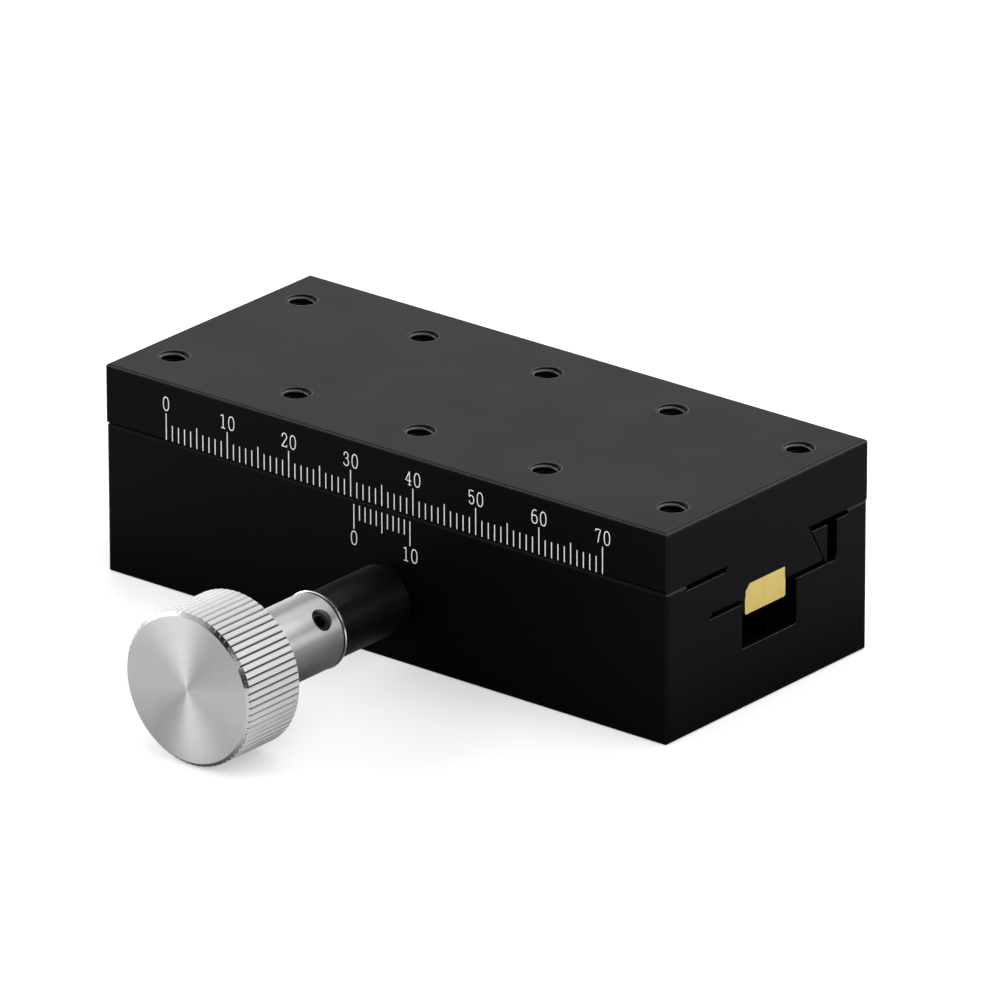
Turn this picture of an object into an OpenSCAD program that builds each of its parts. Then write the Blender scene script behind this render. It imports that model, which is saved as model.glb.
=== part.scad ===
// Linear translation stage: a dovetail slide driven by a rack and pinion.
// The origin is the centre of the base's underside. X is the travel, -Y is the
// side with the knob and the scale, and +Z is up. Lengths are in millimetres.

/* [Stage] */
// Length of the base and of the carriage
stage_l = 90; // [88:0.5:120]
// Width of the base and of the carriage
stage_w = 40; // [39:0.5:50]
// Height of the base
base_h = 20; // [19.5:0.5:26]
// Height of the carriage's plate above the base
plate_h = 8; // [6:0.5:14]
// Travel each way from the middle
travel = 35; // [20:0.5:37]
// Rounding of the base's upright corners
corner_round = 0.6; // [0.3:0.1:1]
// Bevel on the outer edges, and rounding of the carriage's upright corners
edge_bevel = 0.3; // [0.1:0.1:0.5]

/* [Dovetail] */
// Width of the dovetail's neck, where it leaves the plate
neck_w = 16; // [15:0.5:17]
// Height of the dovetail below the plate
tail_h = 5.3; // [5:0.1:5.6]
// Angle of the flanks from the horizontal
flank_angle = 60; // [58:1:64]
// Flat that breaks the dovetail's sharp lower edges
tail_flat = 0.3; // [0.1:0.1:0.6]
// Depth of the groove in the base
groove_h = 6; // [5.8:0.1:6.6]
// Width of the land on each side that carries the plate
land_w = 4; // [3:0.5:5]
// Depth of the relief between the lands and the groove
land_relief = 0.7; // [0.3:0.1:1.2]
// Running clearance between sliding faces
way_clearance = 0.03; // [0.01:0.01:0.08]

/* [Gib] */
// Gap between the gib and the dovetail's flank
gib_gap = 0.3; // [0.05:0.05:0.3]
// Distance of the gib's top below the relief
gib_sink = 0.15; // [0:0.05:0.3]
// Thickness of the gib at its foot
gib_toe = 0.15; // [0.1:0.05:0.4]
// Width of the slot behind the gib
gib_slot = 1.8; // [1.4:0.1:2.2]
// Distance of the gib's ends from the base's end faces
gib_inset = 0.1; // [0:0.05:0.5]
// Height of the gib screws above the groove's floor
gib_screw_up = 2.6; // [2.2:0.1:3]
// Spacing of the gib screws, from the middle outwards
gib_screw_pitch = 16; // [12:1:18]
// Depth of the dimples that the gib screws' points stand in
gib_dimple = 0.5; // [0.3:0.1:0.7]
// Bevel at the foot of the slot behind the gib
slot_corner = 0.4; // [0.2:0.1:0.6]

/* [Channel and pocket] */
// Width of the rack's channel
channel_w = 10.8; // [10.2:0.1:11.4]
// Offset of the channel towards the back
channel_y = 0.3; // [0:0.1:0.5]
// Depth of the channel below the groove's floor
channel_h = 6; // [5.6:0.1:6.4]
// Room in the pocket before, behind and below the gear
pocket_gap = 0.6; // [0.3:0.1:0.9]

/* [Rack and gear] */
// Tooth module
gear_module = 0.5; // [0.4:0.1:0.5]
// Number of teeth on the gear
gear_teeth = 20; // [18:1:21]
// Pressure angle
pressure_angle = 20; // [18:1:22]
// Play between the teeth, measured along the pitch line
backlash = 0.08; // [0.04:0.02:0.16]
// Width of the rack
rack_w = 8; // [7:0.5:8.5]
// Height of the rack, to the tips of its teeth
rack_h = 4; // [3.6:0.1:4.2]
// Offset of the rack towards the front
rack_offset = 0.4; // [0:0.1:0.6]
// Depth to which the rack is let into the dovetail
rack_seat = 1.6; // [1.2:0.1:1.8]
// Bevel on the rack's upper front edge
rack_bevel = 0.8; // [0.3:0.1:1.2]
// Bevel on the rack's other long edges
rack_break = 0.2; // [0.1:0.05:0.4]
// Distance of the rack's ends from the carriage's end faces
rack_inset = 0.1; // [0:0.05:0.5]
// Width of the gear's teeth
gear_w = 6.4; // [5:0.2:6.6]
// Diameter of the gear's hub
gear_hub_d = 8; // [7.4:0.1:8.2]
// Length of the gear's hub
gear_hub_l = 3.6; // [3.2:0.1:3.7]
// Diameter of the cross pin in the hub
gear_pin_d = 1.5; // [1:0.1:1.8]

/* [Shaft and sleeve] */
// Diameter of the shaft
shaft_d = 5; // [4.5:0.1:5.2]
// Running clearance round the shaft, on the radius
shaft_clearance = 0.02; // [0.01:0.01:0.06]
// Play of the gear and the washer along the shaft
thrust_play = 0.05; // [0.02:0.01:0.1]
// Outer diameter of the sleeve
sleeve_d = 9; // [8.6:0.1:9.4]
// Reach of the sleeve from the base's front face
sleeve_reach = 12.5; // [8:0.5:20]
// Height by which the sleeve and the rear bush stand into the pocket
thrust_lip = 0.2; // [0.1:0.05:0.4]
// Outer diameter of the bushes
bush_d = 7; // [6.6:0.1:7.4]
// Length of each bush
bush_l = 7; // [5:0.5:9]
// Radial room round the shaft between the sleeve's two bushes
sleeve_relief = 0.4; // [0.2:0.1:0.6]
// Distance of the sleeve's clamp screw from the front face
sleeve_screw_in = 5; // [4:0.5:11]
// Bevel round the sleeve's ends
sleeve_bevel = 0.2; // [0.1:0.05:0.4]
// Thickness of the washer between the hub and the sleeve
washer_t = 0.3; // [0.2:0.1:0.6]
// Outer diameter of that washer
washer_d = 9.6; // [9:0.1:10]

/* [Knob] */
// Diameter of the knob's head
knob_d = 20; // [16:0.5:26]
// Length of the head
head_l = 9.7; // [7:0.1:14]
// Diameter of the knob's hub
hub_d = 10; // [9.6:0.1:12]
// Length of the hub
hub_l = 14.8; // [10:0.1:20]
// Bevel round the hub's end
hub_bevel = 0.2; // [0.1:0.05:0.5]
// Bevel round the head's face
face_bevel = 0.5; // [0.3:0.1:0.8]
// Number of flutes round the head
flutes = 68; // [40:1:90]
// Depth of the flutes
flute_depth = 0.35; // [0.2:0.05:0.45]
// Share of the head's circumference that the flutes take, with plain ribs between them
flute_share = 0.4; // [0.2:0.02:0.6]
// Depth of the shaft's hole in the knob
knob_bore_l = 18; // [12:0.5:21]
// Distance of the knob's screw from the hub's end
knob_screw_in = 3.1; // [2.5:0.1:6]
// Angle of the knob's screw at rest, from +X towards +Z
knob_screw_angle = 42; // [0:1:90]
// Depth of the flat on the shaft under the knob's screw
shaft_flat = 0.3; // [0.2:0.1:0.5]

/* [Holes and fasteners] */
// Spacing of the top holes along the travel
hole_pitch = 20; // [16:1:24]
// Spacing of the two rows of top holes
hole_rows = 25; // [22:1:26]
// Diameter of the top holes, tapped M4
hole_d = 3.3; // [2.5:0.1:4]
// Depth of the bevel at the mouth of a top hole
hole_bevel = 0.35; // [0.2:0.05:0.6]
// Shortest distance from a top hole to the end face
hole_margin = 4; // [3:0.5:8]
// Diameter of the base's fixing holes, for M4 cap screws
fix_d = 4.5; // [4:0.1:4.8]
// Diameter of the recesses for those screws' heads
fix_head_d = 7.6; // [7.2:0.1:8]
// Depth of those recesses
fix_head_h = 4.2; // [3:0.1:5]
// Diameter of the set screws in the gib, the sleeve and the hub
set_screw_d = 3; // [2.5:0.1:3.2]
// Depth of a set screw's socket end below the face round it
screw_sink = 0.6; // [0.3:0.1:1]
// Length of a set screw's plain point
screw_point_l = 0.2; // [0.1:0.05:0.4]
// Diameter of the lock screw
lock_screw_d = 4; // [3.5:0.1:4.2]
// Length of the lock screw
lock_screw_l = 4.2; // [3:0.1:4.6]
// Diameter of the rack's cap screws
rack_screw_d = 2.5; // [2:0.1:3]
// Length of those screws under the head
rack_screw_l = 7; // [5:0.5:10]
// Distance of the rack's screws from the rack's ends
rack_screw_in = 4; // [3.6:0.1:5]
// Radial gap round the heads of those screws
rack_head_gap = 0.1; // [0.05:0.05:0.2]
// Depth of those heads below the tips of the rack's teeth
rack_head_sink = 0.1; // [0:0.05:0.3]
// Diameter of the stop pin
stop_d = 2; // [1.5:0.1:2.2]
// Depth of the stop pin in the base
stop_seat = 4; // [3:0.5:5]
// Place of the stop pin along the travel
stop_x = 4.5; // [4:0.5:6]
// Distance of the stop pin behind the middle
stop_y = 7.6; // [7.4:0.1:7.9]
// Depth of the slot that the stop pin runs in
stop_slot_h = 2; // [1.2:0.1:2.4]
// Radial gap round a pin or screw in its hole, and round the rack in its seat
seat_gap = 0.01; // [0.01:0.01:0.04]

/* [Hidden] */
$fn = 64;
cut = 1; // length by which a cutting shape runs past the face that it cuts

// Levels of the slide
plate_z = base_h + way_clearance;
top_z = base_h + plate_h;
tail_z = plate_z - tail_h;
relief_z = base_h - land_relief;
groove_z = base_h - groove_h;
channel_z = groove_z - channel_h;
land_y = stage_w / 2 - land_w;

// Half width of the dovetail at height z
function tail_y(z) = neck_w / 2 + (plate_z - z) / tan(flank_angle);
// The same flank with a gap measured square to it
function beside_tail(z, gap) = tail_y(z) + gap / sin(flank_angle);

// Gib and its slot
gib_foot_z = groove_z + way_clearance;
gib_y = beside_tail(gib_foot_z, gib_gap) + gib_toe;
slot_y = gib_y + gib_slot;
gib_screw_z = groove_z + gib_screw_up;
gib_screw_x = [for (side = [-1, 1], k = [1, 2]) side * k * gib_screw_pitch];
gib_point_y = gib_y - gib_dimple;
gib_point_d = set_screw_d / 2;

// Rack, gear and axis of the shaft
rack_y = -rack_offset;
rack_l = stage_l - 2 * rack_inset;
rack_tip_z = tail_z + rack_seat - rack_h;
rack_root_z = rack_tip_z + 2.25 * gear_module;
rack_pitch = PI * gear_module;
tooth_w = rack_pitch / 2 - backlash / 2;
pitch_r = gear_module * gear_teeth / 2;
tip_r = pitch_r + gear_module;
root_r = pitch_r - 1.25 * gear_module;
base_r = pitch_r * cos(pressure_angle);
axis_z = rack_tip_z + gear_module - pitch_r;

// Places along the shaft
front_y = -stage_w / 2;
pocket_front = channel_y - channel_w / 2;
pocket_back = channel_y + channel_w / 2;
sleeve_in = pocket_front + thrust_lip;
sleeve_out = front_y - sleeve_reach;
gear_front = sleeve_in + thrust_play;
gear_back = gear_front + gear_w;
gear_hub_end = gear_back + gear_hub_l;
rear_bush_in = gear_hub_end + thrust_play;
rear_bush_end = rear_bush_in + bush_l;
washer_back = sleeve_out - thrust_play;
hub_end = washer_back - washer_t;
head_back = hub_end - hub_l;
head_front = head_back - head_l;
shaft_front = hub_end - knob_bore_l + way_clearance;
shaft_back = rear_bush_end - way_clearance;

// Holes
hole_columns = floor((stage_l / 2 - hole_margin) / hole_pitch);
hole_x = [for (k = [-hole_columns:hole_columns]) k * hole_pitch];
fix_x = [for (side = [-1, 1], k = [hole_columns - 1, hole_columns]) side * k * hole_pitch];
rack_screw_x = rack_l / 2 - rack_screw_in;
rack_head_d = 1.8 * rack_screw_d;
rack_head_room = rack_screw_d + rack_head_sink;

// Colours
BLACK = [0.09, 0.09, 0.1];
BRASS = [0.86, 0.7, 0.32];
BRONZE = [0.6, 0.42, 0.22];
STEEL = [0.55, 0.56, 0.58];
DARK_STEEL = [0.16, 0.16, 0.17];
ALUMINIUM = [0.78, 0.78, 0.79];

// Extrudes a section drawn in (Y, Z) along X
module along_x(from, to) {
    translate([from, 0, 0]) rotate([90, 0, 90]) linear_extrude(to - from) children();
}

// Extrudes a section drawn in (X, Z) along Y
module along_y(from, to) {
    translate([0, to, 0]) rotate([90, 0, 0]) linear_extrude(to - from) children();
}

// Turns a shape drawn along +Z to lie along the shaft's axis, from y onwards
module on_shaft(y) {
    translate([0, y, axis_z]) rotate([-90, 0, 0]) children();
}

// Turns a shape drawn along +Z to point out of the back face
module from_gib(x, y) {
    translate([x, y, gib_screw_z]) rotate([-90, 0, 0]) children();
}

// A rectangle with bevelled corners, centred along its width, standing on 0
module bevelled_rect(w, h, low, high) {
    polygon([
        [low - w / 2, 0], [w / 2 - low, 0], [w / 2, low], [w / 2, h - high],
        [w / 2 - high, h], [high - w / 2, h], [-w / 2, h - high], [-w / 2, low]
    ]);
}

// A rectangle with rounded corners, centred on the origin
module rounded_rect(l, w, r) {
    square([l - 2 * r, w], center = true);
    square([l, w - 2 * r], center = true);
    for (x = [r - l / 2, l / 2 - r], y = [r - w / 2, w / 2 - r]) translate([x, y]) circle(r);
}

// The outline that a block's end faces and upright corners are milled to
module milled_ends(z, h, low, corner) {
    intersection() {
        translate([0, 0, z])
            along_y(-stage_w / 2, stage_w / 2) bevelled_rect(stage_l, h, low, edge_bevel);
        translate([0, 0, z - cut])
            linear_extrude(h + 2 * cut) rounded_rect(stage_l, stage_w, corner);
    }
}

// A set screw along +Z: its point stands on 0 and its socket is at the far end
module set_screw(d, l, point_d, point_l) {
    bevel = 0.08 * d;
    key = d / 2;
    difference() {
        rotate_extrude() polygon([
            [0, 0], [point_d / 2, 0], [point_d / 2, point_l], [d / 2 - bevel, point_l],
            [d / 2, point_l + bevel], [d / 2, l - bevel], [d / 2 - bevel, l], [0, l]
        ]);
        translate([0, 0, l - key]) cylinder(d = key / cos(30), h = key + cut, $fn = 6);
    }
}

// A cap screw along +Z with its head at the bottom, under 0, and its socket below
module cap_screw(d, l) {
    key = 0.8 * d;
    difference() {
        union() {
            cylinder(d = d, h = l);
            translate([0, 0, -d]) cylinder(d = rack_head_d, h = d);
        }
        translate([0, 0, -d - cut]) cylinder(d = key / cos(30), h = cut + d / 2, $fn = 6);
    }
}

// A plain bush along +Z
module bush() {
    difference() {
        cylinder(d = bush_d, h = bush_l);
        translate([0, 0, -cut]) cylinder(r = shaft_d / 2 + shaft_clearance, h = bush_l + 2 * cut);
    }
}

// Section of the base: lands, relief, groove with one tight flank, gib slot, channel
module base_section() {
    half = stage_w / 2;
    front_groove = -beside_tail(groove_z, way_clearance);
    front_relief = -beside_tail(relief_z, way_clearance);
    polygon([
        [edge_bevel - half, 0], [half - edge_bevel, 0], [half, edge_bevel],
        [half, base_h - edge_bevel], [half - edge_bevel, base_h],
        [land_y, base_h], [land_y, relief_z], [slot_y, relief_z],
        [slot_y, groove_z + slot_corner], [slot_y - slot_corner, groove_z],
        [pocket_back, groove_z], [pocket_back, channel_z],
        [pocket_front, channel_z], [pocket_front, groove_z],
        [front_groove, groove_z], [front_relief, relief_z],
        [-land_y, relief_z], [-land_y, base_h],
        [edge_bevel - half, base_h], [-half, base_h - edge_bevel], [-half, edge_bevel]
    ]);
}

// Section of the carriage: plate, dovetail and the rack's seat
module carriage_section() {
    half = stage_w / 2;
    seat_back = rack_y + rack_w / 2 + seat_gap;
    seat_front = rack_y - rack_w / 2 - seat_gap;
    seat_z = tail_z + rack_seat;
    flat_y = tail_y(tail_z + tail_flat);
    polygon([
        [edge_bevel - half, top_z], [half - edge_bevel, top_z], [half, top_z - edge_bevel],
        [half, plate_z + edge_bevel], [half - edge_bevel, plate_z],
        [neck_w / 2, plate_z], [flat_y, tail_z + tail_flat], [flat_y, tail_z],
        [seat_back, tail_z], [seat_back, seat_z],
        [seat_front + rack_bevel, seat_z], [seat_front, seat_z - rack_bevel],
        [seat_front, tail_z], [-flat_y, tail_z], [-flat_y, tail_z + tail_flat],
        [-neck_w / 2, plate_z], [edge_bevel - half, plate_z],
        [-half, plate_z + edge_bevel], [-half, top_z - edge_bevel]
    ]);
}

module base() {
    pocket_l = 2 * (tip_r + pocket_gap);
    pocket_z = axis_z - tip_r - pocket_gap;
    color(BLACK) difference() {
        intersection() {
            along_x(-stage_l / 2, stage_l / 2) base_section();
            milled_ends(0, base_h, edge_bevel, corner_round);
        }
        // Pocket that takes the gear
        translate([-pocket_l / 2, pocket_front, pocket_z])
            cube([pocket_l, channel_w, channel_z - pocket_z + cut]);
        // Bores for the sleeve and, past the pocket, the rear bush
        on_shaft(front_y - cut)
            cylinder(r = sleeve_d / 2 + seat_gap, h = pocket_front - front_y + 2 * cut);
        on_shaft(pocket_back - cut)
            cylinder(r = bush_d / 2 + seat_gap, h = rear_bush_end + seat_gap - pocket_back + cut);
        // Tapped hole of the sleeve's clamp screw
        translate([0, front_y + sleeve_screw_in, -cut])
            cylinder(r = set_screw_d / 2 + seat_gap, h = axis_z + cut);
        // Tapped holes of the gib screws and the lock screw
        for (x = gib_screw_x)
            from_gib(x, slot_y - cut / 2)
                cylinder(r = set_screw_d / 2 + seat_gap, h = stage_w / 2);
        from_gib(0, slot_y - cut / 2)
            cylinder(r = lock_screw_d / 2 + seat_gap, h = stage_w / 2);
        // Hole of the stop pin
        translate([stop_x, stop_y, groove_z - stop_seat - seat_gap])
            cylinder(r = stop_d / 2 + seat_gap, h = stop_seat + cut);
        // Fixing holes, reached through the channel when the carriage is run aside
        for (x = fix_x) translate([x, 0, 0]) {
            translate([0, 0, -cut]) cylinder(d = fix_d, h = base_h);
            translate([0, 0, channel_z - fix_head_h]) cylinder(d = fix_head_d, h = fix_head_h + cut);
        }
    }
}

module gib() {
    foot = beside_tail(gib_foot_z, gib_gap);
    gib_top_z = relief_z - gib_sink;
    top = beside_tail(gib_top_z, gib_gap);
    color(BLACK) difference() {
        along_x(gib_inset - stage_l / 2, stage_l / 2 - gib_inset)
            polygon([[foot, gib_foot_z], [gib_y, gib_foot_z], [gib_y, gib_top_z], [top, gib_top_z]]);
        for (x = gib_screw_x)
            from_gib(x, gib_point_y - seat_gap)
                cylinder(r = gib_point_d / 2 + seat_gap, h = gib_slot);
    }
}

module gib_screws() {
    length = stage_w / 2 - screw_sink - gib_point_y;
    color(DARK_STEEL) for (x = gib_screw_x)
        from_gib(x, gib_point_y) set_screw(set_screw_d, length, gib_point_d, gib_dimple + seat_gap);
}

module lock_screw() {
    start = stage_w / 2 - screw_sink - lock_screw_l;
    color(DARK_STEEL) from_gib(0, start) set_screw(lock_screw_d, lock_screw_l, lock_screw_d / 2, screw_point_l);
}

module lock_pad() {
    start = gib_y + seat_gap;
    length = stage_w / 2 - screw_sink - lock_screw_l - start;
    color(BRASS) from_gib(0, start) cylinder(d = lock_screw_d, h = length);
}

module stop_pin() {
    top = tail_z + stop_slot_h - stop_d / 4;
    color(STEEL) translate([stop_x, stop_y, groove_z - stop_seat])
        cylinder(d = stop_d, h = top - groove_z + stop_seat);
}

module bearing_sleeve() {
    length = sleeve_in - sleeve_out;
    color(BLACK) on_shaft(sleeve_out) difference() {
        rotate_extrude() polygon([
            [0, 0], [sleeve_d / 2 - sleeve_bevel, 0], [sleeve_d / 2, sleeve_bevel],
            [sleeve_d / 2, length - sleeve_bevel], [sleeve_d / 2 - sleeve_bevel, length], [0, length]
        ]);
        translate([0, 0, -cut]) cylinder(r = shaft_d / 2 + sleeve_relief, h = length + 2 * cut);
        translate([0, 0, -cut]) cylinder(r = bush_d / 2 + seat_gap, h = bush_l + cut);
        translate([0, 0, length - bush_l]) cylinder(r = bush_d / 2 + seat_gap, h = bush_l + cut);
    }
}

module front_bush() {
    color(BRONZE) on_shaft(sleeve_out) bush();
}

module inner_bush() {
    color(BRONZE) on_shaft(sleeve_in - bush_l) bush();
}

module rear_bush() {
    color(BRONZE) on_shaft(rear_bush_in) bush();
}

module sleeve_screw() {
    tip = axis_z - sleeve_d / 2 - seat_gap;
    length = tip - screw_sink / 2;
    color(DARK_STEEL) translate([0, front_y + sleeve_screw_in, tip]) rotate([180, 0, 0])
        set_screw(set_screw_d, length, set_screw_d / 2, screw_point_l);
}

module carriage() {
    slot_r = stop_d / 2 + way_clearance;
    slot_end = travel + seat_gap;
    mouth = hole_bevel + cut;
    color(BLACK) difference() {
        intersection() {
            along_x(-stage_l / 2, stage_l / 2) carriage_section();
            milled_ends(tail_z, top_z - tail_z, 0, edge_bevel);
        }
        // Tapped holes of the top, with bevelled mouths
        for (x = hole_x, side = [-1, 1]) translate([x, side * hole_rows / 2, 0]) {
            translate([0, 0, plate_z - cut]) cylinder(d = hole_d, h = plate_h + 2 * cut);
            translate([0, 0, top_z - hole_bevel])
                cylinder(d1 = hole_d, d2 = hole_d + 2 * mouth, h = mouth);
        }
        // Tapped holes of the rack's screws
        for (side = [-1, 1]) translate([side * rack_screw_x, rack_y, tail_z])
            cylinder(r = rack_screw_d / 2 + seat_gap, h = rack_seat + rack_screw_l);
        // Slot that the stop pin runs in
        translate([stop_x, stop_y, tail_z - cut]) {
            translate([-slot_end, -slot_r, 0]) cube([2 * slot_end, 2 * slot_r, stop_slot_h + cut]);
            for (side = [-1, 1]) translate([side * slot_end, 0, 0])
                cylinder(r = slot_r, h = stop_slot_h + cut);
        }
    }
}

// Toothed outline of the rack in (X, Z): a bar less its tooth spaces
module rack_outline() {
    spaces = floor((rack_l / 2 - rack_pitch / 2) / rack_pitch);
    slope = tan(pressure_angle);
    space_w = rack_pitch - tooth_w;
    pitch_z = rack_tip_z + gear_module;
    low = rack_tip_z - cut;
    half_low = space_w / 2 + (pitch_z - low) * slope;
    half_root = space_w / 2 - (rack_root_z - pitch_z) * slope;
    difference() {
        translate([-rack_l / 2, rack_tip_z]) square([rack_l, rack_h]);
        for (k = [-spaces:spaces]) translate([k * rack_pitch, 0]) polygon([
            [-half_low, low], [half_low, low], [half_root, rack_root_z], [-half_root, rack_root_z]
        ]);
    }
}

module rack() {
    front = rack_y - rack_w / 2;
    back = rack_y + rack_w / 2;
    top = rack_tip_z + rack_h;
    head_top = rack_tip_z + rack_head_room;
    color(BRASS) difference() {
        intersection() {
            along_y(front, back) rack_outline();
            along_x(-rack_l / 2, rack_l / 2) polygon([
                [front + rack_break, rack_tip_z], [back - rack_break, rack_tip_z],
                [back, rack_tip_z + rack_break], [back, top - rack_break], [back - rack_break, top],
                [front + rack_bevel, top], [front, top - rack_bevel], [front, rack_tip_z + rack_break]
            ]);
        }
        for (side = [-1, 1]) translate([side * rack_screw_x, rack_y, 0]) {
            translate([0, 0, rack_tip_z - cut])
                cylinder(r = rack_head_d / 2 + rack_head_gap, h = rack_head_room + cut);
            translate([0, 0, head_top - cut])
                cylinder(r = rack_screw_d / 2 + seat_gap, h = rack_h + cut);
        }
    }
}

module rack_screws() {
    color(DARK_STEEL) for (side = [-1, 1])
        translate([side * rack_screw_x, rack_y, rack_tip_z + rack_head_room])
            cap_screw(rack_screw_d, rack_screw_l);
}

module pinion_shaft() {
    flat_half = set_screw_d;
    flat_y = hub_end - knob_screw_in;
    color(STEEL) difference() {
        on_shaft(shaft_front) cylinder(d = shaft_d, h = shaft_back - shaft_front);
        // Flat under the knob's screw
        translate([0, flat_y, axis_z]) rotate([0, -knob_screw_angle, 0])
            translate([shaft_d / 2 - shaft_flat, -flat_half, -shaft_d])
                cube([shaft_d, 2 * flat_half, 2 * shaft_d]);
        // Cross hole for the gear's pin
        translate([0, gear_back + gear_hub_l / 2, axis_z - shaft_d])
            cylinder(r = gear_pin_d / 2 + seat_gap, h = 2 * shaft_d);
    }
}

// Roll angle of the involute at radius r, as the tooth's half angle there
function involute(a) = tan(a) - a * PI / 180;
function half_tooth(r) =
    let (at = r > base_r ? acos(base_r / r) : 0)
    (tooth_w / (2 * pitch_r) + involute(pressure_angle) - involute(at)) * 180 / PI;
function polar(r, a) = [r * cos(a), r * sin(a)];

// Outline of the gear, with one tooth pointing straight up
module gear_outline() {
    flank = [root_r, base_r, (base_r + pitch_r) / 2, pitch_r, (pitch_r + tip_r) / 2, tip_r];
    last = len(flank) - 1;
    polygon([for (k = [0:gear_teeth - 1], side = [-1, 1], i = [0:last])
        let (r = side < 0 ? flank[i] : flank[last - i])
        polar(r, 90 + k * 360 / gear_teeth + side * half_tooth(r))
    ]);
}

module pinion_gear() {
    color(BRASS) difference() {
        union() {
            translate([0, 0, axis_z]) along_y(gear_front, gear_back) gear_outline();
            on_shaft(gear_back) cylinder(d = gear_hub_d, h = gear_hub_l);
        }
        on_shaft(gear_front - cut)
            cylinder(r = shaft_d / 2 + seat_gap, h = gear_w + gear_hub_l + 2 * cut);
        translate([0, gear_back + gear_hub_l / 2, axis_z - gear_hub_d])
            cylinder(r = gear_pin_d / 2 + seat_gap, h = 2 * gear_hub_d);
    }
}

module pinion_pin() {
    length = gear_hub_d - gear_pin_d / 2;
    color(STEEL) translate([0, gear_back + gear_hub_l / 2, axis_z - length / 2])
        cylinder(d = gear_pin_d, h = length);
}

module thrust_washer() {
    color(STEEL) on_shaft(hub_end) difference() {
        cylinder(d = washer_d, h = washer_t);
        translate([0, 0, -cut]) cylinder(r = shaft_d / 2 + shaft_clearance, h = washer_t + 2 * cut);
    }
}

// Fluted outline of the head: narrow V grooves between broad ribs that keep to the circle
module flute_outline() {
    turn = 360 / flutes;
    rim = knob_d / 2;
    side = flute_share / 2;
    polygon([for (k = [0:flutes - 1], p = [[rim - flute_depth, 0], [rim, side], [rim, 0.5], [rim, 1 - side]])
        polar(p[0], (k + p[1]) * turn)
    ]);
}

module knob() {
    head_edge = knob_d / 2 + cut;
    back_bevel = face_bevel / 2;
    screw_y = hub_end - knob_screw_in;
    color(ALUMINIUM) difference() {
        union() {
            intersection() {
                translate([0, 0, axis_z]) along_y(head_front, head_back) flute_outline();
                // Turned envelope, bevelled at the face and at the back
                on_shaft(head_front) rotate_extrude() polygon([
                    [0, 0], [knob_d / 2 - face_bevel, 0], [head_edge, face_bevel + cut],
                    [head_edge, head_l - back_bevel - cut], [knob_d / 2 - back_bevel, head_l],
                    [0, head_l]
                ]);
            }
            on_shaft(head_back) rotate_extrude() polygon([
                [0, -cut], [hub_d / 2, -cut], [hub_d / 2, hub_l - hub_bevel],
                [hub_d / 2 - hub_bevel, hub_l], [0, hub_l]
            ]);
        }
        on_shaft(hub_end - knob_bore_l) cylinder(r = shaft_d / 2 + seat_gap, h = knob_bore_l + cut);
        translate([0, screw_y, axis_z]) rotate([0, 90 - knob_screw_angle, 0])
            cylinder(r = set_screw_d / 2 + seat_gap, h = hub_d);
    }
}

module knob_screw() {
    start = shaft_d / 2 - shaft_flat + seat_gap;
    length = hub_d / 2 - screw_sink - start;
    color(DARK_STEEL) translate([0, hub_end - knob_screw_in, axis_z])
        rotate([0, 90 - knob_screw_angle, 0]) translate([0, 0, start])
            set_screw(set_screw_d, length, set_screw_d / 2, screw_point_l);
}

base();
gib();
gib_screws();
lock_screw();
lock_pad();
stop_pin();
bearing_sleeve();
front_bush();
inner_bush();
rear_bush();
sleeve_screw();
carriage();
rack();
rack_screws();
pinion_shaft();
pinion_gear();
pinion_pin();
thrust_washer();
knob();
knob_screw();
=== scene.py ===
# %% [markdown]
# # A rack-and-pinion translation stage
#
# This lesson dresses a small linear stage: a black dovetail slide that a knob drives through a
# pinion and a rack. The solid model already holds every part with its true size, and it comes in
# as a fixed frame. What is left for Blender is what an eye looks for: the anodised and turned
# finishes, the engraved scale with its vernier, the threads in the tapped holes, and the light.
#
# Blender counts in metres and the stage is 90 mm long, so lengths are written in millimetres and
# multiplied by MM. The origin is the centre of the base's underside, X runs along the travel, the
# knob and the scale face -Y, and Z is up.

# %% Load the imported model
import math
import bmesh
import bpy
import numpy as np
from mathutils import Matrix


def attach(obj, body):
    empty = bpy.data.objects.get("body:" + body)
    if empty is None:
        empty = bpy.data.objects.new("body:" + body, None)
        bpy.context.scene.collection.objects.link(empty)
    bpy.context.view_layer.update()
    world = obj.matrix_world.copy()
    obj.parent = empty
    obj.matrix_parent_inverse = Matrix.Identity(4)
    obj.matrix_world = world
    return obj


MM = 0.001
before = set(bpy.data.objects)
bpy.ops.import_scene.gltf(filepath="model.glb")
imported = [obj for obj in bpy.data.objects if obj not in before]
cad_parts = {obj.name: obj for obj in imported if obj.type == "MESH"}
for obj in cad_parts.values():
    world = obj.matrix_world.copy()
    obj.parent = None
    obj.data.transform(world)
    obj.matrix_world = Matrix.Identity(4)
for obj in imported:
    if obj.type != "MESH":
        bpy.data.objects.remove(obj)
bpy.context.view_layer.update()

# %% [markdown]
# ## The camera
#
# A product shot of a small part is taken from far away with a long lens, because then the edges
# that are parallel on the object stay nearly parallel in the picture. The camera stands 1.7 m off,
# 39 degrees round from the front and 22 degrees up.

# %% Camera
lens_data = bpy.data.cameras.new("long_lens")
lens_data.sensor_width = 36
lens_data.lens = 482.93
camera = bpy.data.objects.new("long_lens", lens_data)
camera.location = (0.98299, -1.19998, 0.64483)
camera.rotation_euler = [math.radians(angle) for angle in (67.8925, 0.1170, 39.2035)]
bpy.context.scene.collection.objects.link(camera)
bpy.context.scene.camera = camera
print("camera distance:", round(camera.location.length, 3), "m")

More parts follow.
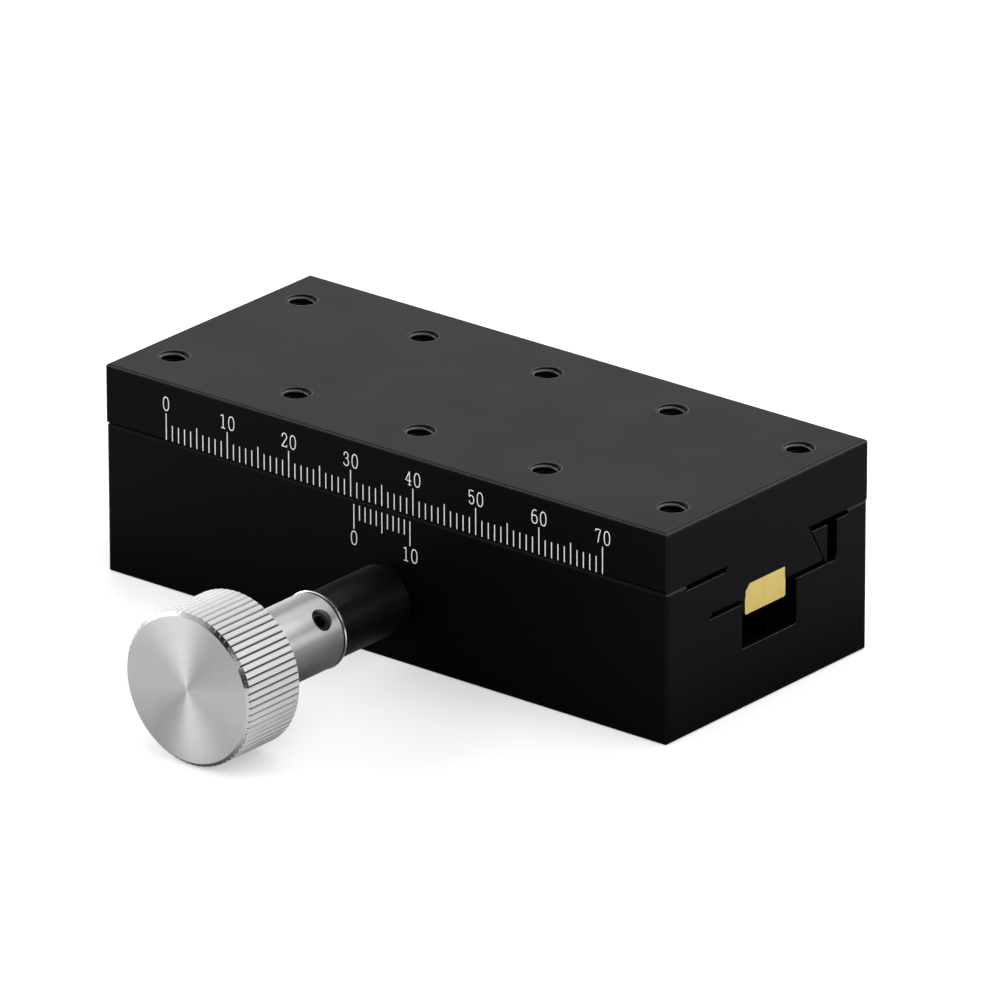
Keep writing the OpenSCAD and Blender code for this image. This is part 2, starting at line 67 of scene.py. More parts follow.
# %% [markdown]
# ## Small helpers for meshes
#
# Every new piece here is a profile carried along a path: an engraved line is a flat strip carried
# along a pen stroke, and a thread is a ridge carried along a helix. With numpy the whole grid of
# points comes out of one sum, point (i, j) = path i + profile j across + profile j up, so there is
# no loop over vertices. The shell is closed at its ends, and its faces are turned outwards once
# the points that lie together are merged.

# %% Swept shells
MERGE_DISTANCE = 1e-7


def swept(path, across, up, profile, ring=False):
    """A profile carried along a path, as (points, faces).

    Point (i, j) = path[i] + profile[j, 0] * across[i] + profile[j, 1] * up[i]. The profile closes
    on itself. With ring the path does too, and otherwise both ends get a cap."""
    steps, corners = len(path), len(profile)
    points = (path[:, None, :] + profile[None, :, :1] * across[:, None, :]
              + profile[None, :, 1:] * up[:, None, :])
    i, j = np.meshgrid(np.arange(steps if ring else steps - 1), np.arange(corners), indexing="ij")
    after, beside = (i + 1) % steps, (j + 1) % corners
    quads = np.stack([i * corners + j, after * corners + j, after * corners + beside,
                      i * corners + beside], axis=-1).reshape(-1, 4)
    faces = quads.tolist()
    if not ring:
        first = np.arange(corners)
        faces += [first.tolist(), (first[::-1] + (steps - 1) * corners).tolist()]
    return points.reshape(-1, 3), faces


def make_piece(name, shells, body, material, smooth=False):
    """Joins shells into one object, turns its faces outwards and lets it ride on a body."""
    points, faces, count = [], [], 0
    for shell_points, shell_faces in shells:
        points.append(shell_points)
        faces += [[corner + count for corner in face] for face in shell_faces]
        count += len(shell_points)
    mesh = bpy.data.meshes.new(name)
    mesh.from_pydata(np.concatenate(points) * MM, [], faces)
    shape = bmesh.new()
    shape.from_mesh(mesh)
    bmesh.ops.remove_doubles(shape, verts=shape.verts, dist=MERGE_DISTANCE)
    bmesh.ops.recalc_face_normals(shape, faces=shape.faces)
    shape.to_mesh(mesh)
    shape.free()
    mesh.polygons.foreach_set("use_smooth", [smooth] * len(mesh.polygons))
    mesh.materials.append(material)
    piece = bpy.data.objects.new(name, mesh)
    bpy.context.scene.collection.objects.link(piece)
    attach(piece, body)
    print(f"{name}: {len(mesh.vertices)} points, {len(mesh.polygons)} faces, rides on {body}")
    return piece

# %% [markdown]
# ## Node groups for the finishes
#
# Several metals here share the same few effects, so each effect is a node group with named inputs
# and is built once. All of them read Object coordinates: an object sits at the origin, so these
# are the real place on the part in metres, and a pattern has its true size and stays put when the
# carriage slides or the knob turns.
#
# - *grain* is the fine matt texture that blasting and anodising leave.
# - *cutter lines* are the faint parallel marks of a milling cutter.
# - *turning rings* are the circles that a lathe tool leaves round the shaft's axis.
# - *handling* is the slow change in gloss from fingers and wiping.
# - *block edges* finds the corners of a block, where the black film wears first and where a highlight is
#   painted.
#
# The helpers below keep the code for nodes short: put adds a node and fills its inputs by name, calc
# does that for one sum, and new_group starts a group with its sockets.

# %% Helpers that add nodes
def fill(tree, made, sockets):
    """Fills a node's inputs: an output is linked to the input, and a plain value is set on it."""
    for socket, value in sockets.items():
        if isinstance(value, bpy.types.NodeSocket):
            tree.links.new(value, made.inputs[socket])
        else:
            made.inputs[socket].default_value = value
    return made


def put(tree, kind, sockets=None, **options):
    """Adds one node, sets its options and fills its inputs."""
    made = tree.nodes.new(kind)
    for option, value in options.items():
        setattr(made, option, value)
    return fill(tree, made, sockets or {})


def calc(tree, operation, first, second=0.0, clamp=False):
    """Adds a Math node and returns its output."""
    return put(tree, "ShaderNodeMath", {0: first, 1: second}, operation=operation,
               use_clamp=clamp).outputs[0]


def new_group(name, inputs, outputs):
    """Starts a node group. inputs is {name: default}, where a vector has no default."""
    group = bpy.data.node_groups.new(name, "ShaderNodeTree")
    for socket, value in inputs.items():
        kind = "NodeSocketVector" if value is None else "NodeSocketFloat"
        made = group.interface.new_socket(socket, in_out="INPUT", socket_type=kind)
        if value is not None:
            made.default_value = value
    for socket in outputs:
        group.interface.new_socket(socket, in_out="OUTPUT", socket_type="NodeSocketFloat")
    return group, group.nodes.new("NodeGroupInput").outputs, group.nodes.new("NodeGroupOutput").inputs

# %% The grain, cutter lines and turning rings
AXIS_Z = 7.83


def spotted(tree, vector, size, detail=3.0):
    """Noise whose spots are about size across: its scale is one over that size."""
    return put(tree, "ShaderNodeTexNoise",
               {"Vector": vector, "Scale": calc(tree, "DIVIDE", 1.0, size), "Detail": detail,
                "Roughness": 0.6}).outputs["Fac"]


grain, given, result = new_group("grain", {"Vector": None, "Size": 0.0003}, ["Height"])
grain.links.new(spotted(grain, given["Vector"], given["Size"]), result["Height"])

cutter_lines, given, result = new_group(
    "cutter lines", {"Vector": None, "Size": 0.0003, "Length": 60.0}, ["Height"])
place = put(cutter_lines, "ShaderNodeSeparateXYZ", {0: given["Vector"]}).outputs
along = calc(cutter_lines, "DIVIDE", place["X"], given["Length"])
drawn_out = put(cutter_lines, "ShaderNodeCombineXYZ", {"X": along, "Y": place["Y"], "Z": place["Z"]})
cutter_lines.links.new(spotted(cutter_lines, drawn_out.outputs[0], given["Size"]), result["Height"])

turning_rings, given, result = new_group(
    "turning rings", {"Vector": None, "Axis height": AXIS_Z * MM, "Size": 0.00012},
    ["Height", "Radius"])
place = put(turning_rings, "ShaderNodeSeparateXYZ", {0: given["Vector"]}).outputs
rise = calc(turning_rings, "SUBTRACT", place["Z"], given["Axis height"])
squares = calc(turning_rings, "ADD", calc(turning_rings, "POWER", place["X"], 2.0),
               calc(turning_rings, "POWER", rise, 2.0))
radius = calc(turning_rings, "SQRT", squares)
tool_path = put(turning_rings, "ShaderNodeCombineXYZ", {"X": radius, "Y": place["Y"]})
turning_rings.links.new(spotted(turning_rings, tool_path.outputs[0], given["Size"]), result["Height"])
turning_rings.links.new(radius, result["Radius"])
print("groups:", [group.name for group in (grain, cutter_lines, turning_rings)])

# %% [markdown]
# ## Groups for gloss and for corners with wear and a painted highlight
#
# The distance from a face of the block is plain arithmetic on the place: half the length minus |X|,
# and so on. Where two of these distances are small at once, the point lies on an edge. The group
# takes the smaller nearness of each pair of faces, weighs it, and keeps the largest of the three.

# %% Handling and block edges
HALF_LENGTH, HALF_WIDTH = 0.045, 0.020

handling, given, result = new_group(
    "handling", {"Vector": None, "Size": 0.012, "Low": 0.3, "High": 0.4}, ["Value"])
spots = spotted(handling, given["Vector"], given["Size"], 2.0)
spread = calc(handling, "MULTIPLY", spots, calc(handling, "SUBTRACT", given["High"], given["Low"]))
handling.links.new(calc(handling, "ADD", given["Low"], spread), result["Value"])

block_edges, given, result = new_group(
    "block edges", {"Vector": None, "Half length": HALF_LENGTH, "Half width": HALF_WIDTH,
                    "Top": 0.02, "Width": 0.0004, "Long edges": 1.0, "End edges": 1.0,
                    "Upright": 0.1}, ["Mask"])
place = put(block_edges, "ShaderNodeSeparateXYZ", {0: given["Vector"]}).outputs


def nearness(distance):
    """1 on the face itself, falling to 0 at Width inside it."""
    return calc(block_edges, "SUBTRACT", 1.0, calc(block_edges, "DIVIDE", distance, given["Width"]), True)


end_face = nearness(calc(block_edges, "SUBTRACT", given["Half length"],
                         calc(block_edges, "ABSOLUTE", place["X"])))
side_face = nearness(calc(block_edges, "SUBTRACT", given["Half width"],
                          calc(block_edges, "ABSOLUTE", place["Y"])))
top_face = nearness(calc(block_edges, "ABSOLUTE", calc(block_edges, "SUBTRACT", given["Top"], place["Z"])))
worn_and_lit = 0.0
for first, second, weight in ((side_face, top_face, "Long edges"), (top_face, end_face, "End edges"),
                              (end_face, side_face, "Upright")):
    shared = calc(block_edges, "MINIMUM", first, second)
    worn_and_lit = calc(block_edges, "MAXIMUM", calc(block_edges, "MULTIPLY", shared, given[weight]), worn_and_lit)
block_edges.links.new(worn_and_lit, result["Mask"])
print("groups:", [group.name for group in (handling, block_edges)])

# %% [markdown]
# ## Black anodised aluminium
#
# The base, the carriage and the gib are milled from aluminium, blasted and dyed black. The film is a clear
# oxide with a low refractive index over a dye, so it is not a metal to the renderer: a nearly black
# colour, a broad soft gloss, fine grain and hardly visible cutter lines. Along the outer corners a little
# grey shows, partly where the film is thin and partly as a painted highlight. The base and the carriage
# have their corners in different places, so one function makes a material for each.

# %% Helpers for materials
def new_material(name):
    """A material with an empty Principled shader, as (material, tree, shader, Object coordinates)."""
    material = bpy.data.materials.new(name)
    material.use_nodes = True
    tree = material.node_tree
    tree.nodes.clear()
    shader = put(tree, "ShaderNodeBsdfPrincipled")
    put(tree, "ShaderNodeOutputMaterial", {"Surface": shader.outputs[0]})
    return material, tree, shader, put(tree, "ShaderNodeTexCoord").outputs["Object"]


def use(tree, group, **sockets):
    """Places a node group with its own values, and returns its outputs."""
    return put(tree, "ShaderNodeGroup", sockets, node_tree=group).outputs


def blend_colours(tree, amount, first, second):
    """Mixes two colours, or two outputs, by an amount from 0 to 1."""
    mixed = put(tree, "ShaderNodeMix", data_type="RGBA")
    fill(tree, mixed, {0: amount, 6: first, 7: second})
    return mixed.outputs[2]


def grey(value, blue=1.0):
    """An RGBA grey, a little bluer or warmer."""
    return (value, value, value * blue, 1.0)

# %% [markdown]
# ## Worn film and painted highlights
#
# Two more places turn grey besides the block's corners. A screw scrapes the bevelled mouth of its hole,
# which is a ring round each hole's axis; this ring is also a painted highlight on the mouth. And an edge
# where an upright face turns to one that looks up gets a painted highlight, strongest at the two ends. The
# Bevel node rounds the normal there for the light, so where the rounded normal looks up much more than the
# face's own, the point is on such an edge. Both are masks from 0 to 1. They could be painted by hand, but
# a mask that is worked out fits every hole.

# %% Masks for worn film and painted highlights
HOLE_PITCH, HOLE_ROW = 0.020, 0.0125
MOUTH_RADIUS, MOUTH_WIDTH, MOUTH_FOOT = 0.00201, 0.00015, 0.0276
FLANK_LEAN = 0.33
END_ZONE = HALF_LENGTH - 0.0002
# Strengths of the painted highlight on the upper edges, along the sides and at the two ends.
SIDE_HIGHLIGHT, END_HIGHLIGHT = 0.3, 3.7


def hole_mouths(tree, vector):
    """Up to 1 on the bevelled mouths of the top holes, which stand every 20 mm in two rows: worn film and
    a painted highlight.

    Ping-pong with half the pitch gives the distance along x to the nearest hole. The mask is
    0.9 - |distance from the axis - MOUTH_RADIUS| / MOUTH_WIDTH, and 0 below the mouth."""
    place = put(tree, "ShaderNodeSeparateXYZ", {0: vector}).outputs
    beside = calc(tree, "PINGPONG", place["X"], HOLE_PITCH / 2)
    across = calc(tree, "SUBTRACT", calc(tree, "ABSOLUTE", place["Y"]), HOLE_ROW)
    squares = calc(tree, "ADD", calc(tree, "POWER", beside, 2.0), calc(tree, "POWER", across, 2.0))
    off_ring = calc(tree, "SUBTRACT", calc(tree, "SQRT", squares), MOUTH_RADIUS)
    off_ring = calc(tree, "ABSOLUTE", off_ring)
    ring = calc(tree, "SUBTRACT", 0.9, calc(tree, "DIVIDE", off_ring, MOUTH_WIDTH))
    return calc(tree, "MULTIPLY", calc(tree, "GREATER_THAN", place["Z"], MOUTH_FOOT), ring, True)


def upper_edges(tree, vector, broken):
    """A painted highlight, up to 1 where an edge turns from an upright face to one that looks up.

    There the normal of the broken edge leans up further than the face's own normal does. A lean of
    FLANK_LEAN or less, such as a dovetail's flank gives, isn't counted. The painted highlight is stronger
    at the ends than along the long faces."""
    own = put(tree, "ShaderNodeSeparateXYZ", {0: put(tree, "ShaderNodeNewGeometry").outputs["Normal"]})
    leaning = put(tree, "ShaderNodeSeparateXYZ", {0: broken}).outputs["Z"]
    lift = calc(tree, "SUBTRACT", leaning, calc(tree, "ADD", own.outputs["Z"], FLANK_LEAN), True)
    along = put(tree, "ShaderNodeSeparateXYZ", {0: vector}).outputs["X"]
    at_end = calc(tree, "GREATER_THAN", calc(tree, "ABSOLUTE", along), END_ZONE)
    strength = calc(tree, "ADD", SIDE_HIGHLIGHT, calc(tree, "MULTIPLY", at_end, END_HIGHLIGHT))
    return calc(tree, "MULTIPLY", lift, strength, True)


print("worn: hole mouths every", HOLE_PITCH / MM, "mm, upper edges most within 0.2 mm of the ends")

# %% Anodised finish
BROKEN_EDGE = 0.00015
FILM_IOR = 1.11
# The pale grey that the masks blend to is both bare metal where the film wore and a painted highlight on
# corners, upper edges and hole mouths.
DARK_DYE, PALE_DYE, BARE_METAL_AND_HIGHLIGHT = grey(0.0010), grey(0.0022, 1.05), grey(0.2)
CORNER_CONTRAST, CORNER_WEAR_AND_HIGHLIGHT, MOUTH_WEAR_AND_HIGHLIGHT = 3.5, 0.4, 0.4


def anodised(name, top, long_edges, holes=False):
    """Black anodised block whose upper face lies at the height top, in metres.

    long_edges is how much wear and painted highlight its long upper edges get, from 0 to 1."""
    material, tree, shader, vector = new_material(name)
    spots = use(tree, grain, Vector=vector, Size=0.00022)["Height"]
    lines = use(tree, cutter_lines, Vector=vector, Size=0.0005, Length=40.0)["Height"]
    edge = use(tree, block_edges, Vector=vector, Top=top, Width=0.0003,
               **{"Long edges": long_edges})["Mask"]
    # Block corners: wear and a painted highlight, patchy with the grain.
    patchy = calc(tree, "MULTIPLY", edge, calc(tree, "SUBTRACT", spots, 0.1, True))
    worn_and_lit = calc(tree, "MULTIPLY", calc(tree, "MULTIPLY", patchy, CORNER_CONTRAST, True), CORNER_WEAR_AND_HIGHLIGHT)
    broken = put(tree, "ShaderNodeBevel", {"Radius": BROKEN_EDGE}, samples=4).outputs[0]
    worn_and_lit = calc(tree, "MAXIMUM", worn_and_lit, upper_edges(tree, vector, broken))
    if holes:
        mouths = calc(tree, "MULTIPLY", hole_mouths(tree, vector), MOUTH_WEAR_AND_HIGHLIGHT)
        worn_and_lit = calc(tree, "MAXIMUM", worn_and_lit, mouths)
    dye = blend_colours(tree, lines, DARK_DYE, PALE_DYE)
    fill(tree, shader, {
        "Base Color": blend_colours(tree, worn_and_lit, dye, BARE_METAL_AND_HIGHLIGHT),
        "Roughness": use(tree, handling, Vector=vector, Low=0.34, High=0.44)["Value"],
        "IOR": FILM_IOR})
    relief = calc(tree, "ADD", spots, calc(tree, "MULTIPLY", lines, 0.7))
    bump = put(tree, "ShaderNodeBump", {"Strength": 0.25, "Distance": 0.00002, "Height": relief,
                                        "Normal": broken})
    tree.links.new(bump.outputs[0], shader.inputs["Normal"])
    return material


black_base = anodised("black_anodised_base", 0.020, 0.1)
black_carriage = anodised("black_anodised_carriage", 0.028, 0.9, holes=True)
print("materials:", black_base.name, black_carriage.name)

# %% [markdown]
# ## Turned parts: the knob and the sleeve
#
# The knob is bright turned aluminium. A lathe tool cuts circles round the axis, and the metal is
# smooth along a circle but rough across it, so a lamp is drawn out into a bow tie of light on the
# face. The shader has that as anisotropy: its tangent runs round the axis, and a quarter turn lays
# the broad direction across the circles. The sleeve is turned too, but black and glossier.
#
# The head's rim is fluted and then blasted, so the crowns between the flutes are pale and matt, and the
# flutes' roots are painted dark as shade. The distance from the axis tells crown from root, and the
# distance along the axis tells the rim from the bevel round the face.

# %% The fluted rim
FACE_BEVEL_BACK, FACE_BEVEL_RADIUS = -0.05686, 0.00948
CROWN_FOOT, CROWN_TOP = 0.00975, 0.0099
ROOT_RADIUS, ROOT_WIDTH = 0.00966, 0.00014
HUB_END_FRONT, HUB_END_BACK = -0.03345, -0.03308
# Painted shade: the flutes' roots and a narrow band in front of the hub's lip are coloured dark.
ROOT_PAINTED_SHADE, ROOT_SHADE_STRENGTH, HUB_END_PAINTED_SHADE = grey(0.03), 1.3, grey(0.05)
BEVEL_POLISH, BLAST_ROUGHNESS, BLAST_MATT = 0.26, 0.18, 0.75


def fluted(tree, vector, radius, colour, rough, crown_colour):
    """The head's rim: blasted pale crowns outside CROWN_FOOT, and painted shade along the flutes' roots.

    It starts behind the bevel round the face, which was cut last and keeps its shine. A blasted crown
    scatters light much as a matt surface does, so it is only a quarter metallic. A narrow band in front of
    the hub's lip is painted dark as shade. It returns the new colour, roughness and metallic value."""
    depth = put(tree, "ShaderNodeSeparateXYZ", {0: vector}).outputs["Y"]
    behind = calc(tree, "GREATER_THAN", depth, FACE_BEVEL_BACK)
    crown = put(tree, "ShaderNodeMapRange", {"Value": radius, "From Min": CROWN_FOOT,
                                             "From Max": CROWN_TOP})
    crown = calc(tree, "MULTIPLY", behind, crown.outputs[0])
    # Painted shade along the flutes' roots, where the grooves lie in shade.
    off_root = calc(tree, "ABSOLUTE", calc(tree, "SUBTRACT", radius, ROOT_RADIUS))
    root = calc(tree, "SUBTRACT", 1.0, calc(tree, "DIVIDE", off_root, ROOT_WIDTH), True)
    root_shade = calc(tree, "MULTIPLY", behind, calc(tree, "MULTIPLY", root, ROOT_SHADE_STRENGTH, True))
    rim_colour = blend_colours(tree, root_shade, blend_colours(tree, crown, colour, crown_colour), ROOT_PAINTED_SHADE)
    # Painted shade: a dark band in front of the hub's lip.
    hub_end = calc(tree, "MULTIPLY", calc(tree, "GREATER_THAN", depth, HUB_END_FRONT),
                   calc(tree, "LESS_THAN", depth, HUB_END_BACK))
    colour = blend_colours(tree, hub_end, rim_colour, HUB_END_PAINTED_SHADE)
    bevel = calc(tree, "MULTIPLY", calc(tree, "SUBTRACT", 1.0, behind),
                 calc(tree, "GREATER_THAN", radius, FACE_BEVEL_RADIUS))
    rough = calc(tree, "SUBTRACT", rough, calc(tree, "MULTIPLY", bevel, BEVEL_POLISH))
    return (colour, calc(tree, "ADD", rough, calc(tree, "MULTIPLY", crown, BLAST_ROUGHNESS)),
            calc(tree, "SUBTRACT", 1.0, calc(tree, "MULTIPLY", crown, BLAST_MATT)))

# %% Turned finishes
RING_SHADE = 0.88


def turned(name, colour, metal, rough, ring_depth, anisotropy, ior=1.5, crown_colour=None):
    """A finish cut on the lathe round the shaft's axis, with tool rings and a little handling."""
    material, tree, shader, vector = new_material(name)
    cut = use(tree, turning_rings, Vector=vector, Size=0.00016)
    dull = use(tree, handling, Vector=vector, Size=0.004, Low=rough - 0.03, High=rough + 0.05)["Value"]
    darker = tuple(RING_SHADE * part for part in colour[:3]) + (1.0,)
    surface = blend_colours(tree, cut["Height"], darker, colour)
    if crown_colour:
        surface, dull, metal = fluted(tree, vector, cut["Radius"], surface, dull, crown_colour)
    fill(tree, shader, {"Base Color": surface, "Metallic": metal, "Roughness": dull, "IOR": ior,
                        "Anisotropic": anisotropy, "Anisotropic Rotation": 0.25})
    tangent = put(tree, "ShaderNodeTangent", direction_type="RADIAL", axis="Y").outputs[0]
    tree.links.new(tangent, shader.inputs["Tangent"])
    bump = put(tree, "ShaderNodeBump", {"Strength": 0.3, "Distance": ring_depth, "Height": cut["Height"]})
    tree.links.new(bump.outputs[0], shader.inputs["Normal"])
    return material


bright_knob = turned("turned_aluminium", (0.54, 0.54, 0.545, 1.0), 1.0, 0.42, 0.00001, 0.9,
                     crown_colour=grey(0.67))
polished_lip = turned("polished_lip", (0.86, 0.86, 0.87, 1.0), 1.0, 0.2, 0.000004, 0.0)
black_sleeve = turned("black_sleeve", (0.003, 0.003, 0.0033, 1.0), 0.0, 0.32, 0.00001, 0.9, 1.32)
steel = turned("ground_steel", (0.50, 0.50, 0.52, 1.0), 1.0, 0.25, 0.000004, 0.3)
bronze = turned("sintered_bronze", (0.42, 0.24, 0.10, 1.0), 1.0, 0.42, 0.00001, 0.0)
print("turned finishes:", bright_knob.name, black_sleeve.name, steel.name, bronze.name)

# %% [markdown]
# ## Brass, dark screws and the filling of the engraving
#
# The rack is milled from pale brass. It is left bare, so it keeps fine cutter lines and a slightly uneven
# tarnish. The screws are blackened steel with an oily gloss. The scale is cut with a laser and filled, so
# it is matt white with a little unevenness along each line. The threads are tapped after the dye, so they
# are bare grey at the first crest of a top hole, and below it their colour is painted dark as the shade
# inside the hole.

# %% Remaining finishes
def plain_metal(name, colour, tarnish, metal, rough, size):
    """Cut metal with fine lines, and a second colour where it has tarnished."""
    material, tree, shader, vector = new_material(name)
    lines = use(tree, cutter_lines, Vector=vector, Size=size, Length=8.0)["Height"]
    cloudy = use(tree, handling, Vector=vector, Size=0.003, Low=-0.3, High=0.9)["Value"]
    fill(tree, shader, {
        "Base Color": blend_colours(tree, calc(tree, "ADD", cloudy, 0.0, True), colour, tarnish),
        "Metallic": metal,
        "Roughness": calc(tree, "ADD", rough - 0.06, calc(tree, "MULTIPLY", lines, 0.12))})
    bump = put(tree, "ShaderNodeBump", {"Strength": 0.3, "Distance": 0.00001, "Height": lines})
    tree.links.new(bump.outputs[0], shader.inputs["Normal"])
    return material


def thread_finish(name, dark, light):
    """A cut thread that is bare at its first crest and painted dark below it, as shade inside the hole.

    dark and light are the heights, in metres, between which the colour changes."""
    material, tree, shader, vector = new_material(name)
    cut = use(tree, grain, Vector=vector, Size=0.0003)["Height"]
    height = put(tree, "ShaderNodeSeparateXYZ", {0: vector}).outputs["Z"]
    # Painted shade: below the first crest the colour turns dark as the inside of the hole is in shade,
    # though the metal there is bare too.
    first_crest = put(tree, "ShaderNodeMapRange", {"Value": height, "From Min": dark, "From Max": light})
    bare = calc(tree, "MULTIPLY", first_crest.outputs[0], calc(tree, "ADD", cut, 0.3), True)
    fill(tree, shader, {
        "Base Color": blend_colours(tree, bare, grey(0.004), grey(0.11)),
        "Metallic": 0.5,
        "Roughness": calc(tree, "ADD", 0.3, calc(tree, "MULTIPLY", cut, 0.1)),
        "IOR": 1.2})
    return material


brass = plain_metal("milled_brass", (0.69, 0.56, 0.18, 1.0), (0.57, 0.43, 0.12, 1.0), 1.0, 0.40, 0.0002)
dark_steel = plain_metal("blackened_steel", grey(0.02), grey(0.01), 0.7, 0.32, 0.00015)
tapped_thread = thread_finish("tapped_thread", 0.0271, 0.0275)
white_fill = plain_metal("white_filling", grey(0.93), grey(0.84), 0.0, 0.55, 0.0004)
print("cut finishes:", brass.name, dark_steel.name, tapped_thread.name, white_fill.name)

# %% [markdown]
# ## Finishes on the solid parts
#
# The solid parts stay as they are, and only their material slot is filled.

# %% Dress the solid parts
FINISHES = {
    black_base: ["base", "gib"],
    black_carriage: ["carriage"],
    black_sleeve: ["bearing_sleeve"],
    bright_knob: ["knob"],
    brass: ["rack", "pinion_gear", "lock_pad"],
    bronze: ["front_bush", "inner_bush", "rear_bush"],
    steel: ["pinion_shaft", "pinion_pin", "stop_pin", "thrust_washer"],
    dark_steel: ["gib_screws", "lock_screw", "sleeve_screw", "rack_screws", "knob_screw"],
}
for material, names in FINISHES.items():
    for name in names:
        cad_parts[name].material_slots[0].material = material
dressed = sum(len(names) for names in FINISHES.values())
print("dressed", dressed, "of", len(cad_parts), "solid parts")

# %% [markdown]
# ## The engraved scale and its vernier
#
# The carriage carries a scale of 70 mm with a line for each millimetre, and the base carries a
# vernier whose ten parts span nine millimetres, so the lines that meet tell tenths. Each line is a
# strip 0.15 mm wide whose crown stands a hundredth of a millimetre out of the face and whose foot is
# sunk into it. That is thin enough to lie flat to the eye, and it is real geometry, so it stays
# sharp in a close view. Texture painting would need an image, and a bump could not carry colour
# edges this fine.

# %% Strokes on the front face
FACE_Y = -20.0
STRIP_RISE = 0.012
STRIP_SINK = 0.05
SHOULDER_SHARE, CROWN_SHARE = 0.4, 0.7


def engraved(points, width, ring=False):
    """A strip along a pen stroke in (x, z) on the front face.

    Across is the stroke's direction turned by 90 degrees in the face, up is out of the face, and
    the profile is a flat crown a little narrower than the foot."""
    flat = np.asarray(points, float)
    path = np.column_stack([flat[:, 0], np.full(len(flat), FACE_Y), flat[:, 1]])
    if ring:
        run = np.roll(path, -1, 0) - np.roll(path, 1, 0)
    else:
        run = np.gradient(path, axis=0)
    run /= np.linalg.norm(run, axis=1)[:, None]
    across = np.column_stack([run[:, 2], np.zeros(len(run)), -run[:, 0]])
    out = np.tile([0.0, -1.0, 0.0], (len(run), 1))
    half, shoulder = width / 2, SHOULDER_SHARE * STRIP_RISE
    crown = CROWN_SHARE * half
    profile = np.array([[-half, -STRIP_SINK], [-half, shoulder], [-crown, STRIP_RISE],
                        [crown, STRIP_RISE], [half, shoulder], [half, -STRIP_SINK]])
    return swept(path, across, out, profile, ring)


# %% Lines of the scale and the vernier
TICK_WIDTH = 0.148
SCALE_LENGTH = 70
SCALE_FOOT, ONES_TOP, FIVES_TOP, TENS_TOP = 20.25, 22.35, 23.05, 23.8
scale_strips = []
for mark in range(SCALE_LENGTH + 1):
    top = TENS_TOP if mark % 10 == 0 else FIVES_TOP if mark % 5 == 0 else ONES_TOP
    x = mark - SCALE_LENGTH / 2
    scale_strips.append(engraved([(x, SCALE_FOOT), (x, top)], TICK_WIDTH))
make_piece("scale_lines", scale_strips, "carriage", white_fill)

VERNIER_PARTS = 10
VERNIER_START, VERNIER_STEP = -4.5, 0.9
VERNIER_TOP, END_LENGTH, MIDDLE_LENGTH, PART_LENGTH = 19.35, 3.3, 2.75, 2.0
vernier_strips = []
for mark in range(VERNIER_PARTS + 1):
    length = END_LENGTH if mark % 10 == 0 else MIDDLE_LENGTH if mark == 5 else PART_LENGTH
    x = VERNIER_STEP * mark + VERNIER_START
    vernier_strips.append(engraved([(x, VERNIER_TOP - length), (x, VERNIER_TOP)], TICK_WIDTH))
make_piece("vernier_lines", vernier_strips, "base", white_fill)

# %% [markdown]
# ## The numbers
#
# The numbers are drawn as an engraver would: one thin pen line for each stroke, made of straight
# runs and parts of ellipses, in a light upright hand with small feet. A font would bring closed
# outlines that are too heavy at 2 mm, and these strokes go through the same strip as the lines.

# %% Pen strokes for the figures
def arc(cx, cz, rx, rz, start, end, steps=24):
    """Points on an ellipse: (cx + rx cos a, cz + rz sin a), from angle start to end in degrees."""
    a = np.radians(np.linspace(start, end, steps))
    return np.column_stack([cx + rx * np.cos(a), cz + rz * np.sin(a)])


def strokes(*runs):
    """One stroke from several runs of points."""
    return np.concatenate([np.asarray(run, float) for run in runs])


def oval(cx, cz, rx, rz, square=0.82, steps=40):
    """A closed oval with slightly straight sides: the cosine and sine raised to a power under 1."""
    a = np.linspace(0, 2 * np.pi, steps, endpoint=False)
    bow = np.abs([np.cos(a), np.sin(a)]) ** square * np.sign([np.cos(a), np.sin(a)])
    return np.column_stack([cx + rx * bow[0], cz + rz * bow[1]])


# Each figure is 2 high and about 1 wide: a list of (stroke, closed)
FIGURES = {
    "0": [(oval(0, 1, 0.48, 1.0), True)],
    "1": [([(0.06, 0), (0.06, 1), (0.06, 2)], False),
          ([(-0.36, 1.80), (-0.12, 1.84), (0.06, 2.0)], False),
          ([(-0.30, 0), (0.06, 0), (0.42, 0)], False)],
    "2": [(strokes([(-0.34, 1.44)], arc(0.02, 1.52, 0.42, 0.48, 175, -25),
                   [(-0.18, 0.45), (-0.46, 0.02)]), False),
          ([(-0.46, 0.02), (0.0, 0.05), (0.40, 0.0), (0.48, 0.34)], False)],
    "3": [(strokes([(-0.34, 1.48)], arc(-0.01, 1.56, 0.38, 0.44, 165, -90)), False),
          (strokes([(-0.10, 1.12)], arc(-0.02, 0.56, 0.46, 0.56, 90, -165)), False)],
    "4": [([(0.18, 2.0), (-0.16, 1.30), (-0.50, 0.62), (0.0, 0.60), (0.48, 0.60)], False),
          ([(0.18, 2.0), (0.18, 1.0), (0.18, 0)], False), ([(-0.06, 0), (0.18, 0), (0.42, 0)], False)],
    "5": [(strokes([(0.38, 1.94), (0.0, 2.0), (-0.34, 1.96), (-0.36, 1.5), (-0.38, 1.0)],
                   arc(0.02, 0.62, 0.44, 0.62, 140, -160)), False)],
    "6": [(arc(0.10, 1.0, 0.56, 1.0, 62, 180), False), (oval(0.0, 0.60, 0.46, 0.60), True)],
    "7": [([(-0.44, 1.62), (-0.40, 1.92), (0.0, 1.96), (0.44, 1.98), (0.16, 1.1), (-0.04, 0.0)], False)],
}

# %% Numbers on the scale and the vernier
FIGURE_SCALE = 0.89
FIGURE_PITCH = 1.38
PEN_WIDTH = 0.135
SCALE_FIGURE_FOOT, VERNIER_FIGURE_FOOT = 24.2, 13.95


